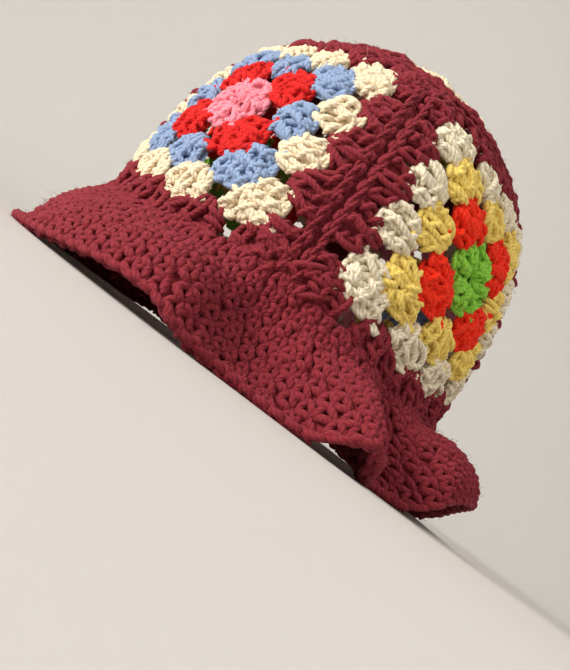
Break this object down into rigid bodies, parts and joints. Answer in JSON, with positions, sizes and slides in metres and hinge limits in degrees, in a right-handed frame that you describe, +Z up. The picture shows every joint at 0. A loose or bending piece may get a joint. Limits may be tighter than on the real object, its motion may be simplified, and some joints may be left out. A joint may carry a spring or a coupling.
{
  "type": "granny square bucket hat",
  "caption": "Crocheted bucket hat: granny squares joined with ridged seams into a rounded crown, with a wavy single-crochet brim.",
  "frame": {"origin": "on the surface the hat rests on, under the middle of its outline", "axes": "+Z up through the crown, the front square faces -Y, the wearer's left is +X"},
  "size_m": [0.2524, 0.255, 0.1709],
  "materials": {
    "wine": "matt plied acrylic yarn, crocheted, slightly fuzzy",
    "red": "matt plied acrylic yarn, crocheted, slightly fuzzy",
    "pink": "matt plied acrylic yarn, crocheted, slightly fuzzy",
    "light_blue": "matt plied acrylic yarn, crocheted, slightly fuzzy",
    "warm_cream": "matt plied acrylic yarn, crocheted, slightly fuzzy",
    "off_white": "matt plied acrylic yarn, crocheted, slightly fuzzy",
    "yellow": "matt plied acrylic yarn, crocheted, slightly fuzzy",
    "orange_red": "matt plied acrylic yarn, crocheted, slightly fuzzy",
    "lime_green": "matt plied acrylic yarn, crocheted, slightly fuzzy"
  },
  "bodies": {
    "root": {"front_square_round_1": "pink", "front_square_round_2": "red", "front_square_round_3": "light_blue", "front_square_round_4": "warm_cream", "front_square_round_5": "wine", "left_square_round_1": "lime_green", "left_square_round_2": "orange_red", "left_square_round_3": "yellow", "left_square_round_4": "off_white", "left_square_round_5": "wine", "back_square_round_1": "light_blue", "back_square_round_2": "yellow", "back_square_round_3": "pink", "back_square_round_4": "warm_cream", "back_square_round_5": "wine", "right_square_round_1": "yellow", "right_square_round_2": "lime_green", "right_square_round_3": "orange_red", "right_square_round_4": "off_white", "right_square_round_5": "wine", "top_square_round_1": "orange_red", "top_square_round_2": "pink", "top_square_round_3": "yellow", "top_square_round_4": "warm_cream", "top_square_round_5": "wine", "seam_front_left": "wine", "seam_left_back": "wine", "seam_back_right": "wine", "seam_right_front": "wine", "seam_top": "wine", "brim_front": "wine", "brim_left": "wine", "brim_back": "wine", "brim_right": "wine"}
  },
  "joints": []
}
